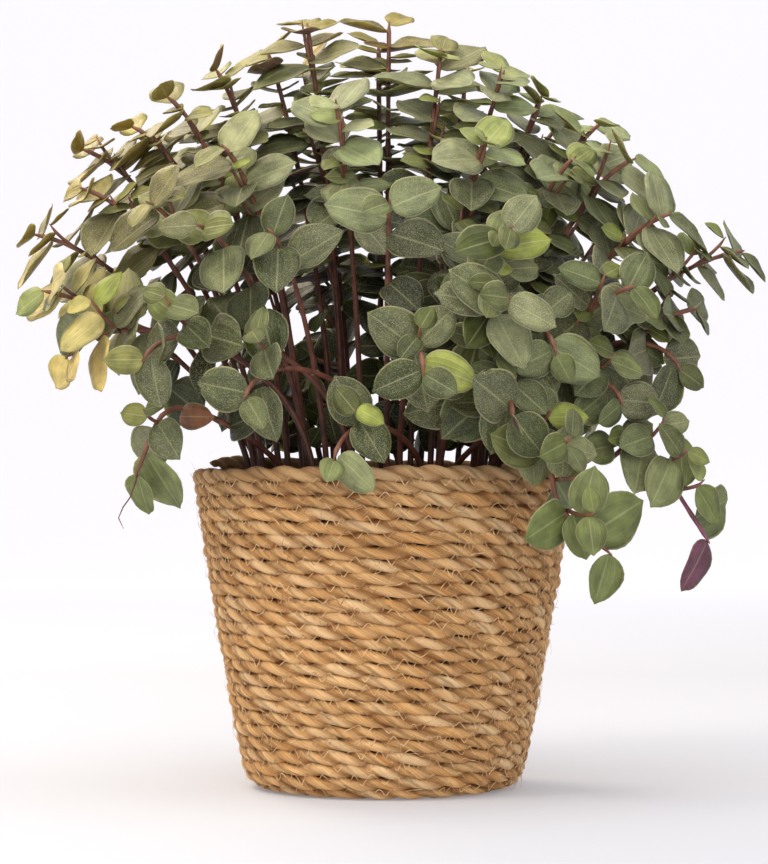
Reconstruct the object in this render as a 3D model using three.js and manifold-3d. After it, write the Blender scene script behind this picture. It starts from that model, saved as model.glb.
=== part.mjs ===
// A potted turtle vine (Callisia repens): a sewn seagrass basket with its plastic liner, the grower's
// pot, the potting soil, and the leafy shoots that stand in the soil. Millimetres, +Z up, and the
// origin is on the floor under the middle of the basket.
import * as THREE from "three";
import { ConvexGeometry } from "three/addons/geometries/ConvexGeometry.js";
import { mergeVertices } from "three/addons/utils/BufferGeometryUtils.js";
import Module from "manifold-3d";

const wasm = await Module();
wasm.setup();

// ---- driving dimensions ----
const basket = { height: 127, rimRadius: 75, footRadius: 46, heelRadius: 52.5, wall: 6, floor: 6 };
const gap = 0.4; // between pieces that rest on each other
const liner = { wall: 0.6, top: 121 };
const growerPot = { wall: 1.2, top: 118, rimRadius: 64.5, lip: 2.6, mouthRadius: 61, footRadius: 43 };
const drain = { count: 4, radius: 4, circle: 26 };
const soil = { top: 110, clearance: 0.4 };
const stem = { radius: 1.35, sides: 5, twist: 0.35, step: 20, clearance: 1.1, joint: 0.7 };
const leaf = { thickness: 1.1, width: 0.74, clearance: 1.1 };

const linerFloor = basket.floor + gap;
const potFloor = linerFloor + liner.wall + gap;
const soilFloor = potFloor + growerPot.wall + gap;
const rootLevel = soil.top + gap;

// Tips of the shoots that show from the front and the sides: x, y, z, number of leaves.
const namedTips = [
  [2, 22, 299, 8], [-30, 4, 296, 8], [22, -14, 284, 8], [46, -18, 275, 8], [-18, -52, 260, 7],
  [-46, 14, 287, 8], [-66, 6, 279, 8], [-84, -14, 266, 8], [62, 4, 269, 8], [84, -8, 256, 8],
  [-60, -56, 243, 7], [-88, -54, 222, 8], [-68, -78, 212, 6], [-99, 2, 256, 8], [-119, 14, 248, 7],
  [-116, -20, 230, 8], [-137, 4, 214, 7], [-129, -34, 190, 8], [-119, -42, 164, 8], [-88, -74, 162, 6],
  [-42, -80, 210, 4], [2, -86, 220, 6], [38, -52, 246, 8], [46, -94, 210, 8], [45, -106, 184, 7],
  [14, -112, 156, 6], [-50, -96, 148, 3], [-18, -97, 126, 2], [62, -86, 164, 7], [46, -102, 140, 7],
  [72, -42, 240, 8], [95, -32, 240, 7], [107, -48, 218, 8], [141, 12, 208, 5], [92, -68, 190, 8],
  [120, -22, 184, 7], [112, -30, 160, 6], [88, -62, 146, 7],
];
// Shoots that hang over the rim: the points that each passes through above the soil, and its leaves.
const hangingShoots = [
  {
    through: [[24, -38], [46, -66, 139], [58, -84, 131], [63, -90, 110], [82, -90, 92]],
    count: 6,
    heading: 80,
  },
  {
    through: [[40, -20], [62, -37, 137], [82, -46, 126], [95, -47, 135], [104, -48, 122], [121, -50, 95]],
    count: 2,
    heading: 60,
  },
  { through: [[-36, -22], [-58, -36, 139], [-80, -46, 145], [-92, -54, 120]], count: 6, heading: 70 },
];
// The shoots behind fill an egg-shaped dome, row by row: height, reach from the axis, and how many.
const domeRows = [
  { height: 284, reach: 40, count: 3 },
  { height: 262, reach: 78, count: 4 },
  { height: 226, reach: 108, count: 4 },
  { height: 182, reach: 114, count: 2 },
  { height: 146, reach: 100, count: 2 },
];
const behind = { from: 8, to: 172 }; // degrees round the axis, counted from +X towards +Y

// ---- repeatable chance: the same number from 0 to 1 for the same whole-number keys ----
function chance(...keys) {
  let hash = 2166136261;
  for (const key of keys) {
    hash = Math.imul(hash ^ (key + 101), 16777619);
    hash = Math.imul(hash ^ (hash >>> 15), 2246822507);
    hash ^= hash >>> 13;
  }
  return (hash >>> 0) / 4294967296;
}
const spread = (amount, ...keys) => amount * (2 * chance(...keys) - 1);
const vec = (x, y, z) => new THREE.Vector3(x, y, z);
const up = vec(0, 0, 1);

// ---- solids ----
function solidOf(geometry) {
  const bare = geometry.clone();
  bare.deleteAttribute("normal");
  bare.deleteAttribute("uv");
  const merged = mergeVertices(bare, 1e-4);
  return new wasm.Manifold(
    new wasm.Mesh({
      numProp: 3,
      vertProperties: merged.attributes.position.array,
      triVerts: new Uint32Array(merged.index.array),
    }),
  );
}

function geometryOf(solid) {
  const mesh = solid.getMesh();
  return new THREE.BufferGeometry()
    .setAttribute("position", new THREE.BufferAttribute(new Float32Array(mesh.vertProperties), 3))
    .setIndex(new THREE.BufferAttribute(mesh.triVerts, 1));
}

// A turned solid about +Z from [radius, height] points that start and end on the axis.
function turned(points, segments) {
  const profile = points.map(([r, z]) => new THREE.Vector2(r, z));
  return new THREE.LatheGeometry(profile, segments).rotateX(Math.PI / 2);
}

// Outer radius of the basket at a height: nearly upright at the rim, drawn in faster near the foot.
function basketRadius(z) {
  const t = THREE.MathUtils.clamp(z / basket.height, 0, 1);
  const side = basket.heelRadius + (basket.rimRadius - basket.heelRadius) * Math.pow(t, 0.86);
  const heel = THREE.MathUtils.clamp(1 - z / 9, 0, 1);
  return side - (basket.heelRadius - basket.footRadius) * heel * heel;
}

function basketGeometry() {
  const heights = [0, 3, 8, 24, 50, 80, 106, basket.height];
  const outside = heights.map((z) => [basketRadius(z), z]);
  const inside = [basket.height, 80, 40, basket.floor].map((z) => [basketRadius(z) - basket.wall, z]);
  return turned([[0, 0], ...outside, ...inside, [0, basket.floor]], 32);
}

// A thin cup that follows the inside of the basket.
function linerGeometry() {
  const outer = (z) => basketRadius(z) - basket.wall - gap;
  const heights = [linerFloor, 40, 80, liner.top];
  const outside = heights.map((z) => [outer(z), z]);
  const inside = [liner.top, 80, 40, linerFloor + liner.wall].map((z) => [outer(z) - liner.wall, z]);
  return turned([[0, linerFloor], ...outside, ...inside, [0, linerFloor + liner.wall]], 24);
}

// Inner radius of the grower's pot at a height.
function potBore(z) {
  const t = (z - potFloor) / (growerPot.top - potFloor);
  return THREE.MathUtils.lerp(growerPot.footRadius, growerPot.mouthRadius, t);
}

function growerPotGeometry() {
  const { wall, top, rimRadius, lip } = growerPot;
  const profile = [
    [0, potFloor],
    [potBore(potFloor) + wall, potFloor],
    [potBore(top - lip) + wall, top - lip],
    [rimRadius, top - lip],
    [rimRadius, top],
    [potBore(top), top],
    [potBore(soilFloor), potFloor + wall],
    [0, potFloor + wall],
  ];
  let pot = solidOf(turned(profile, 24));
  for (let i = 0; i < drain.count; i++) {
    const turn = ((i + 0.5) * 2 * Math.PI) / drain.count;
    const hole = new THREE.CylinderGeometry(drain.radius, drain.radius, 3 * wall, 10)
      .rotateX(Math.PI / 2)
      .translate(drain.circle * Math.cos(turn), drain.circle * Math.sin(turn), potFloor + wall / 2);
    pot = pot.subtract(solidOf(hole));
  }
  return geometryOf(pot);
}

function soilGeometry() {
  const side = (z) => [potBore(z) - soil.clearance, z];
  return turned([[0, soilFloor], side(soilFloor), side(soil.top), [0, soil.top]], 24);
}

// ---- shoots ----
function hangingCurve(through, turn) {
  const points = through.map(([x, y, z = rootLevel]) => vec(x, y, z));
  points[0].applyAxisAngle(up, turn * 0.3);
  points.splice(1, 0, points[0].clone().setZ(rootLevel + 9));
  return new THREE.CatmullRomCurve3(points, false, "centripetal");
}

// A shoot grows from the soil to its tip. One that ends low goes up first and arches over the rim.
function shootCurve(tip, index, turn) {
  const out = Math.hypot(tip.x, tip.y);
  const around = Math.atan2(tip.y, tip.x) + turn;
  const rootReach = Math.min(50, 6 + out * 0.38 + spread(5, index, 1));
  const root = vec(rootReach * Math.cos(around), rootReach * Math.sin(around), rootLevel);
  const rise = tip.z - rootLevel;
  if (rise < 62) {
    const crest = Math.max(tip.z, basket.height) + 22;
    const above = vec(tip.x, tip.y, crest).lerp(vec(root.x, root.y, crest), 0.12);
    return new THREE.CubicBezierCurve3(root, vec(root.x, root.y, crest - 8), above, tip);
  }
  const bend = Math.min(1, out / 95); // the outer shoots lean over until their tips point outwards
  const first = root.clone().lerp(tip, 0.05).setZ(rootLevel + rise * 0.42);
  const second = root.clone().lerp(tip, 0.68 - 0.12 * bend).setZ(rootLevel + rise * (0.76 + 0.18 * bend));
  return new THREE.CubicBezierCurve3(root, first, second, tip);
}

// A stem is a tube of straight steps, and this is the point on its middle line at a share of its length.
const stemSteps = (curve) => Math.max(4, Math.round(curve.getLength() / stem.step));
function stemPoint(curve, share) {
  const steps = stemSteps(curve);
  const at = Math.min(Math.floor(share * steps), steps - 1);
  const from = curve.getPointAt(at / steps);
  return from.lerp(curve.getPointAt((at + 1) / steps), share * steps - at);
}

// Points every few millimetres along a stem, from its root, for testing room.
const testPoints = 45;
const spaced = (curve) => Array.from({ length: testPoints + 1 }, (_, i) => stemPoint(curve, i / testPoints));

function hitsPot(p, room) {
  if (p.z > basket.height + room) return false;
  return Math.hypot(p.x, p.y) < basketRadius(p.z) + room;
}

// Whether a stem through this point would touch the grower's pot, the liner or the basket's rim.
function hitsRims(p) {
  const reach = Math.hypot(p.x, p.y);
  if (reach < potBore(soil.top) - 2 || reach > basket.rimRadius + 4) return false;
  return p.z < (reach < growerPot.rimRadius ? growerPot.top : basket.height) + 3;
}

// How much room a stem's points leave to the stems before it, in mm, or less than none at the rims.
function roomOf(points, earlier) {
  let least = 100;
  for (const p of points) {
    if (hitsRims(p)) least = Math.min(least, -1);
    for (const q of earlier) least = Math.min(least, p.distanceTo(q));
  }
  return least;
}

// A leaf: where it joins the stem, its direction, its side and its face, and its size.
function makeLeaf(base, along, face, length) {
  const side = along.clone().cross(face).normalize();
  const normal = side.clone().cross(along).normalize();
  const width = length * leaf.width;
  const centre = base.clone().addScaledVector(along, length / 2);
  const rim = [];
  for (let i = 0; i < 10; i++) {
    const a = (i * Math.PI) / 5;
    const p = centre.clone().addScaledVector(along, (Math.cos(a) * length) / 2);
    rim.push(p.addScaledVector(side, (Math.sin(a) * width) / 2));
  }
  return { base, along, side, normal, length, width, centre, rim };
}

// Whether a point lies within a leaf's outline and nearer its face than the room asked for.
function overLeaf(p, l, room, edge) {
  const d = p.clone().sub(l.centre);
  const a = d.dot(l.along) / (l.length / 2 + edge);
  const b = d.dot(l.side) / (l.width / 2 + edge);
  return a * a + b * b < 1 && Math.abs(d.dot(l.normal)) < room;
}

function crosses(one, other, outerOnly) {
  const rim = one.rim;
  for (let i = 0; i < rim.length; i++) {
    if (outerOnly && (i > 2 && i < 8)) continue;
    const p = rim[i];
    const q = rim[(i + 1) % rim.length];
    if (overLeaf(p, other, leaf.clearance, 0.5)) return true;
    const hp = p.clone().sub(other.centre).dot(other.normal);
    const hq = q.clone().sub(other.centre).dot(other.normal);
    if (hp * hq < 0 && overLeaf(p.clone().lerp(q, hp / (hp - hq)), other, 0.2, 0.5)) return true;
  }
  return false;
}

function leafFits(made, owner, leaves, stems) {
  for (const p of made.rim) if (hitsPot(p, 1.5)) return false;
  for (const other of leaves) {
    if (made.centre.distanceTo(other.centre) > (made.length + other.length) / 2 + 2) continue;
    const own = other.owner === owner;
    if (crosses(made, other, own) || crosses(other, made, own)) return false;
  }
  for (const { shoot, points } of stems) {
    if (shoot === owner) continue;
    for (const p of points) {
      if (p.distanceTo(made.centre) > made.length / 2 + 4) continue;
      if (overLeaf(p, made, stem.radius + stem.clearance, stem.radius + 1)) return false;
    }
  }
  return true;
}

// Leaves turn their faces up, out of the crown and to a window in front, and lie nearly flat to it.
const facing = { axis: 0.4, up: 0.3, outward: 0.75, window: 0.42, sway: 0.45, flatten: 0.6 };
const crownMiddle = vec(0, 25, 165);
function faceAt(base, axis, owner, i) {
  const outward = base.clone().sub(crownMiddle).normalize();
  const face = axis.clone().multiplyScalar(facing.axis).addScaledVector(outward, facing.outward);
  const sway = vec(spread(facing.sway, owner, i, 6), spread(facing.sway, owner, i, 8), 0);
  return face.addScaledVector(up, facing.up).add(sway).add(vec(0, -facing.window, 0)).normalize();
}

// Leaves sit in two ranks, close together at the tip and further apart down the stem.
const upright = {
  steps: [1.5, 4, 9, 17, 27, 38, 50, 63, 77],
  lengths: [13, 17.5, 20.5, 22, 22, 21.5, 20.5, 19, 17.5],
  lifts: [42, 30, 20, 12, 6, 2, 0, -4, -6],
};
const trailing = {
  steps: [2, 12, 24, 37, 50, 63],
  lengths: [19, 22, 24, 24, 22, 20],
  lifts: [30, 14, 8, 4, 0, 0],
};
const turnTries = [0, 26, -26, 52, -52, 80, -80, 110, -110];
const sizeTries = [1, 0.82, 0.66];

function leafyStem(curve, owner, count, rule, heading, leaves, stems) {
  const pace = (1 + spread(0.16, owner, 9)) / curve.getLength();
  for (let i = 0; i < count; i++) {
    const at = 1 - rule.steps[i] * pace;
    if (at < 0.12) break;
    const base = stemPoint(curve, at);
    const axis = curve.getTangentAt(at);
    const reference = Math.abs(axis.z) > 0.9 ? vec(1, 0, 0) : up;
    const across = axis.clone().cross(reference).normalize();
    const lift = THREE.MathUtils.degToRad(rule.lifts[i] + spread(9, owner, i, 3));
    const face = faceAt(base, axis, owner, i);
    placing: for (const size of sizeTries) {
      for (const turn of turnTries) {
        const angle = THREE.MathUtils.degToRad(heading + i * 156 + turn + spread(14, owner, i, 2));
        const outward = across.clone().applyAxisAngle(axis, angle);
        const along = outward.clone().multiplyScalar(Math.cos(lift)).addScaledVector(axis, Math.sin(lift));
        along.z += spread(0.12, owner, i, 4);
        along.addScaledVector(face, -facing.flatten * along.dot(face)).normalize();
        const span = rule.lengths[i] * size * (1 + spread(0.13, owner, i, 5));
        const foot = base.clone().addScaledVector(along, stem.joint);
        const made = makeLeaf(foot, along, face, span);
        if (!leafFits(made, owner, leaves, stems)) continue;
        leaves.push({ ...made, owner, rank: i });
        break placing;
      }
    }
  }
}

function tipsOfDome() {
  const tips = [];
  domeRows.forEach(({ height, reach, count }, row) => {
    for (let i = 0; i < count; i++) {
      const share = (i + 0.5 + spread(0.18, row, i, 11)) / count;
      const around = THREE.MathUtils.degToRad(THREE.MathUtils.lerp(behind.from, behind.to, share));
      const far = reach * (1 + spread(0.1, row, i, 12));
      tips.push([far * Math.cos(around), far * Math.sin(around), height + spread(9, row, i, 13), 8]);
    }
  });
  return tips;
}

function growShoots() {
  const standing = [...namedTips, ...tipsOfDome()].map(([x, y, z, count]) => ({ tip: vec(x, y, z), count }));
  const plan = [...hangingShoots, ...standing];
  const stems = [];
  const leaves = [];
  plan.forEach(({ tip, through }, index) => {
    const earlier = stems.flatMap((s) => s.points);
    let best = { room: -100 };
    for (let tryNumber = 0; tryNumber < 24 && best.room < 2 * stem.radius + stem.clearance; tryNumber++) {
      const turn = tryNumber === 0 ? 0 : spread(0.75, index, tryNumber, 21);
      const curve = through ? hangingCurve(through, turn) : shootCurve(tip, index * 40 + tryNumber, turn);
      const points = spaced(curve);
      const room = roomOf(points, earlier);
      if (room > best.room) best = { room, curve, points };
    }
    stems.push({ shoot: index, curve: best.curve, points: best.points });
  });
  plan.forEach(({ count, through, heading }, index) => {
    const first = heading ?? chance(index, 7) * 360;
    leafyStem(stems[index].curve, index, count, through ? trailing : upright, first, leaves, stems);
  });
  return { stems, leaves };
}

function stemSolid(curve) {
  const ring = Array.from({ length: stem.sides }, (_, i) => {
    const a = ((i + stem.twist) * 2 * Math.PI) / stem.sides;
    return new THREE.Vector2(stem.radius * Math.cos(a), stem.radius * Math.sin(a));
  });
  const settings = { steps: stemSteps(curve), extrudePath: curve, bevelEnabled: false };
  return solidOf(new THREE.ExtrudeGeometry(new THREE.Shape(ring), settings));
}

// A thin pointed lens with six corners round its edge.
function leafSolid(l) {
  const place = (a, b, c) =>
    l.base
      .clone()
      .addScaledVector(l.along, a * l.length)
      .addScaledVector(l.side, b * l.width)
      .addScaledVector(l.normal, c * leaf.thickness);
  const edge = [[0, 0], [0.28, 0.47], [0.66, 0.4], [1, 0], [0.66, -0.4], [0.28, -0.47]];
  const corners = edge.map(([a, b]) => place(a, b, 0));
  return solidOf(new ConvexGeometry([...corners, place(0.45, 0, 0.5), place(0.45, 0, -0.5)]));
}

const colour = { straw: 0xc99a5e, film: 0x2b2b2b, pot: 0x3a3a3c, soil: 0x3b2a1d, leaf: 0x7f8a5c };
const finish = (color, roughness) => new THREE.MeshStandardMaterial({ color, roughness, metalness: 0 });

const plant = new THREE.Group();
function addPiece(name, geometry, material) {
  const mesh = new THREE.Mesh(geometry, material);
  mesh.name = name;
  plant.add(mesh);
  return mesh;
}

addPiece("seagrass_basket", basketGeometry(), finish(colour.straw, 0.85));
addPiece("plastic_liner", linerGeometry(), finish(colour.film, 0.4));
addPiece("grower_pot", growerPotGeometry(), finish(colour.pot, 0.5));
addPiece("potting_soil", soilGeometry(), finish(colour.soil, 0.95));

const { stems, leaves } = growShoots();
const foliage = finish(colour.leaf, 0.55);
for (const { shoot, curve } of stems) {
  const own = leaves.filter((l) => l.owner === shoot && l.rank > 0).map(leafSolid);
  const joined = wasm.Manifold.union([stemSolid(curve), ...own]);
  const root = curve.getPoint(0);
  const geometry = geometryOf(joined).translate(-root.x, -root.y, -root.z);
  addPiece(`shoot_${String(shoot + 1).padStart(2, "0")}`, geometry, foliage).position.copy(root);
}

export default plant;
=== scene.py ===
# A potted turtle vine (Callisia repens) in a sewn seagrass basket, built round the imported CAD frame.
# Shapes are worked out in millimetres and put into the meshes in metres, +Z up, -Y to the front.
import math

import bpy
import numpy as np
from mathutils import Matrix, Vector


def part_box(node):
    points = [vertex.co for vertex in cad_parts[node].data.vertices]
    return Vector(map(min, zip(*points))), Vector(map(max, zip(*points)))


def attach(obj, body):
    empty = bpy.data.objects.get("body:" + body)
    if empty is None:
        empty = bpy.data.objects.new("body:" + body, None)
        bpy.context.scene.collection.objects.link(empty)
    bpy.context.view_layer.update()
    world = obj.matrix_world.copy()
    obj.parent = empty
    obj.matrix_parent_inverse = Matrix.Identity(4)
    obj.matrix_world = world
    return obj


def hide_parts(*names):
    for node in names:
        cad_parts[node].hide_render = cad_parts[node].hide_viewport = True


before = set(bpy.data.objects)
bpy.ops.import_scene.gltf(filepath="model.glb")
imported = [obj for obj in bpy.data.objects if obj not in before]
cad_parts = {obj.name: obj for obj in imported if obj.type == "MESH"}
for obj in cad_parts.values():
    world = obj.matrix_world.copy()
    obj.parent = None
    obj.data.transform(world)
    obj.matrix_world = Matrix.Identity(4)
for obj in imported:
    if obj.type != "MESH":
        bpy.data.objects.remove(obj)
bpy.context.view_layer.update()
print("frame loaded:", len(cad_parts), "nodes")

# ---- camera, floor and light ----
view = {"distance": 1.2, "height": 0.130, "aim": 0.137, "lens": 129.2}
studio = {
    "front": 5.0, "back": 2.6, "side": 5.0, "wallHeight": 2.6, "bend": 0.9,
    "glowFrom": 0.6, "glowTo": 1.75, "nearGlow": 0.20, "farGlow": 0.56, "roomLight": 0.62,
}


def aimAt(thing, place, target):
    # turns a camera or a light at the place so that its -Z points at the target
    forward = np.array(target, float) - np.array(place, float)
    forward /= np.linalg.norm(forward)
    thing.location = place
    thing.rotation_euler = (math.acos(-forward[2]), 0, math.atan2(forward[0], -forward[1]) + math.pi)


def makeCamera():
    camera = bpy.data.objects.new("camera", bpy.data.cameras.new("camera"))
    camera.data.lens = view["lens"]
    camera.data.sensor_width = 36
    camera.data.clip_end = 20
    camera.location = (0, -view["distance"], view["height"])
    rise = math.atan2(view["aim"] - view["height"], view["distance"])
    camera.rotation_euler = (math.pi / 2 + rise, 0, 0)
    bpy.context.scene.collection.objects.link(camera)
    bpy.context.scene.camera = camera


def linear(hexColour):
    # an sRGB hex value as linear red, green, blue and alpha
    parts = np.array([int(hexColour[i : i + 2], 16) / 255 for i in (1, 3, 5)])
    parts = np.where(parts <= 0.04045, parts / 12.92, ((parts + 0.055) / 1.055) ** 2.4)
    return (*[float(p) for p in parts], 1.0)


def newMaterial(name, **sockets):
    # a material with one Principled shader and its constant values set on its own sockets
    material = bpy.data.materials.new(name)
    material.use_nodes = True
    tree = material.node_tree
    shader = tree.nodes["Principled BSDF"]
    for socket, value in sockets.items():
        shader.inputs[socket.replace("_", " ")].default_value = value
    return material, tree, shader


def addNode(tree, kind, inputs=None, **settings):
    # adds a node, sets what it is told, and links each input that is another node's output
    node = tree.nodes.new(kind)
    for name, value in settings.items():
        setattr(node, name, value)
    for name, value in (inputs or {}).items():
        if isinstance(value, bpy.types.NodeSocket):
            tree.links.new(value, node.inputs[name])
        else:
            node.inputs[name].default_value = value
    return node


def addPlace(tree):
    # the place on a piece, in metres
    return addNode(tree, "ShaderNodeTexCoord").outputs["Object"]


def addAttribute(tree, name):
    return addNode(tree, "ShaderNodeAttribute", attribute_name=name).outputs["Vector"]


def addParts(tree, vector):
    # the x, y and z of a vector
    return addNode(tree, "ShaderNodeSeparateXYZ", {0: vector}).outputs


def addNoise(tree, place, scale, detail):
    return addNode(tree, "ShaderNodeTexNoise", {"Vector": place, "Scale": scale, "Detail": detail}).outputs[0]


def addRange(tree, value, *limits):
    # takes a value from between the first two limits to between the next two, or to between 0 and 1
    return addNode(tree, "ShaderNodeMapRange", {0: value, **dict(enumerate(limits, 1))}).outputs[0]


def addMath(tree, kind, *values):
    return addNode(tree, "ShaderNodeMath", dict(enumerate(values)), operation=kind).outputs[0]


def addScale(tree, colour, factor):
    return addNode(tree, "ShaderNodeVectorMath", {0: colour, "Scale": factor}, operation="SCALE").outputs[0]


def addMix(tree, share, first, second):
    return addNode(tree, "ShaderNodeMix", {0: share, 6: first, 7: second}, data_type="RGBA").outputs[2]


def addRamp(tree, share, stops):
    # a colour ramp through the stops, which are places in rising order with their colours
    ramp = addNode(tree, "ShaderNodeValToRGB", {0: share})
    elements = ramp.color_ramp.elements
    elements[0].position, elements[1].position = stops[0][0], stops[-1][0]
    for place, _ in stops[1:-1]:
        elements.new(place)
    for element, (_, colour) in zip(elements, stops):
        element.color = linear(colour)
    return ramp.outputs[0]


def addBump(tree, shader, height, strength, distance):
    bump = addNode(tree, "ShaderNodeBump", {"Height": height, "Strength": strength, "Distance": distance})
    tree.links.new(bump.outputs[0], shader.inputs["Normal"])


def makeStudio():
    # a floor that sweeps up into the back wall in one bend, so that no line shows behind the plant
    along = np.linspace(0, 1, 13) * math.pi / 2
    bend, back = studio["bend"], studio["back"]
    profile = [(-studio["front"], 0.0), (0.0, 0.0), (back - bend, 0.0)]
    profile += [(back - bend + bend * math.sin(a), bend - bend * math.cos(a)) for a in along[1:]]
    profile += [(back, studio["wallHeight"])]
    y, z = np.array(profile).T
    side = studio["side"]
    points = np.concatenate([np.stack([np.full_like(y, x), y, z], 1) for x in (-side, side)])
    rows = np.arange(len(y) - 1)
    faces = np.stack([rows, rows + len(y), rows + len(y) + 1, rows + 1], 1)
    material, tree, shader = newMaterial(
        "palePaperSweep", Base_Color=linear("#babcc3"), Roughness=0.9, Emission_Color=linear("#fdf9fc")
    )
    # the paper glows a little, more at the back than near the lamps, so that all of it looks equally white
    limits = [studio[key] for key in ("glowFrom", "glowTo", "nearGlow", "farGlow")]
    glow = addRange(tree, addParts(tree, addPlace(tree))["Y"], *limits)
    tree.links.new(glow, shader.inputs["Emission Strength"])
    sweep = meshPiece("studioSweep", points, [(faces, 0)], [material])


def makeLights():
    world = bpy.data.worlds.new("paleRoom")
    world.use_nodes = True
    background = world.node_tree.nodes["Background"]
    background.inputs["Color"].default_value = linear("#f8f8fb")
    background.inputs["Strength"].default_value = studio["roomLight"]
    bpy.context.scene.world = world
    lamps = {
        "keyLight": {"place": (-0.85, -0.65, 1.35), "size": 0.55, "power": 12.0, "colour": "#fff3e2"},
        "topSoft": {"place": (0.05, -0.25, 1.6), "size": 1.3, "power": 10.0, "colour": "#fffcf8"},
        "frontFill": {"place": (0.3, -1.8, 0.55), "size": 1.2, "power": 16.0, "colour": "#fffaf5"},
        "backLight": {"place": (-0.6, 0.8, 0.95), "size": 0.5, "power": 8.0, "colour": "#ffeed2"},
    }
    for name, lamp in lamps.items():
        light = bpy.data.lights.new(name, "AREA")
        light.size = lamp["size"]
        light.energy = lamp["power"]
        light.color = linear(lamp["colour"])[:3]
        thing = bpy.data.objects.new(name, light)
        aimAt(thing, lamp["place"], (0, 0, 0.15))
        bpy.context.scene.collection.objects.link(thing)
    bpy.context.scene.view_settings.view_transform = "Standard"


# ---- mesh helpers ----
def meshPiece(name, points, faceSets, materials, attributes=None):
    # points in metres, and faceSets as pairs of a face array and the number of its material
    mesh = bpy.data.meshes.new(name)
    corners = np.concatenate([faces.ravel() for faces, _ in faceSets]).astype(np.int32)
    sizes = np.concatenate([np.full(len(faces), faces.shape[1]) for faces, _ in faceSets])
    kinds = np.concatenate([np.full(len(faces), kind) for faces, kind in faceSets])
    starts = np.concatenate([[0], np.cumsum(sizes)[:-1]])
    mesh.vertices.add(len(points))
    mesh.vertices.foreach_set("co", np.ascontiguousarray(points, np.float32).ravel())
    mesh.loops.add(len(corners))
    mesh.loops.foreach_set("vertex_index", corners)
    mesh.polygons.add(len(sizes))
    mesh.polygons.foreach_set("loop_start", starts.astype(np.int32))
    mesh.update(calc_edges=True)
    for material in materials:
        mesh.materials.append(material)
    mesh.polygons.foreach_set("material_index", kinds.astype(np.int32))
    mesh.polygons.foreach_set("use_smooth", np.ones(len(sizes), bool))
    for key, values in (attributes or {}).items():
        field = mesh.attributes.new(key, "FLOAT_VECTOR", "POINT")
        field.data.foreach_set("vector", np.ascontiguousarray(values, np.float32).ravel())
    piece = bpy.data.objects.new(name, mesh)
    bpy.context.scene.collection.objects.link(piece)
    return piece


def unit(vectors):
    return vectors / np.linalg.norm(vectors, axis=-1, keepdims=True)


def rising(value, start, span):
    # 0 up to the start, 1 from a span further on, and straight between; a negative span runs downwards
    return np.clip((value - start) / span, 0, 1)


def blend(first, second, share):
    return first + (second - first) * share[:, None]


def tubeFaces(rings, sides):
    # the quads round a tube of rings, and the two fans that close it onto an end point each
    ring = np.arange(rings - 1)[:, None] * sides
    side = np.arange(sides)[None, :]
    after = (side + 1) % sides
    quads = np.stack([ring + side, ring + after, ring + sides + after, ring + sides + side], -1)
    first, last = rings * sides, rings * sides + 1
    flat = np.arange(sides)
    turn = (flat + 1) % sides
    start = np.stack([turn, flat, np.full(sides, first)], -1)
    end = (rings - 1) * sides
    finish = np.stack([end + flat, end + turn, np.full(sides, last)], -1)
    return quads.reshape(-1, 4), np.concatenate([start, finish])


def tubeGrid(centres, across, upward, radii):
    # a ring of points round each centre: the radius times cos(angle) across plus sin(angle) upward
    sides = radii.shape[1]
    angle = np.linspace(0, 2 * math.pi, sides, endpoint=False)
    ring = np.cos(angle)[:, None] * across[:, None, :] + np.sin(angle)[:, None] * upward[:, None, :]
    rings = centres[:, None, :] + ring * radii[:, :, None]
    return np.concatenate([rings.reshape(-1, 3), centres[:1], centres[-1:]])


def wander(place, spacing, seed):
    # a smooth random walk between -1 and 1 that changes about once every spacing
    x = np.asarray(place, float) / spacing
    low = np.floor(x).astype(int)
    table = np.random.default_rng(seed).uniform(-1, 1, low.max() - low.min() + 3)
    share = x - low
    share = share * share * (3 - 2 * share)
    at = low - low.min()
    return table[at] * (1 - share) + table[at + 1] * share


# ---- seagrass basket ----
basket = {
    "height": 127, "rimRadius": 75, "footRadius": 46, "heelRadius": 52.5,
    "pitch": 4.85, "ropeRadius": 2.5, "plies": 2, "twist": 25.0, "step": 1.55, "sides": 12,
    "stitch": 5.6, "stitchRadius": 0.15, "strayFibres": 640, "leafShadeFrom": 108, "lumps": 4096,
}


def basketRadius(z):
    # the outer radius at a height: nearly straight sides that draw in faster near the foot
    t = np.clip(z / basket["height"], 0, 1)
    side = basket["heelRadius"] + (basket["rimRadius"] - basket["heelRadius"]) * t**0.86
    heel = np.clip(1 - z / 9, 0, 1)
    return side - (basket["heelRadius"] - basket["footRadius"]) * heel * heel


def coilProfile():
    # the path that the rope's middle climbs: out over the base, round the heel and up the wall
    inset = basket["ropeRadius"]
    base = np.stack([np.linspace(0.8, basket["footRadius"] - inset - 1.2, 24), np.full(24, inset)], 1)
    z = np.linspace(inset + 0.6, basket["height"] - inset, 90)
    wall = np.stack([basketRadius(z) - inset, z], 1)
    profile = np.concatenate([base, wall])
    steps = np.linalg.norm(np.diff(profile, axis=0), axis=1)
    return profile, np.concatenate([[0], np.cumsum(steps)])


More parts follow.
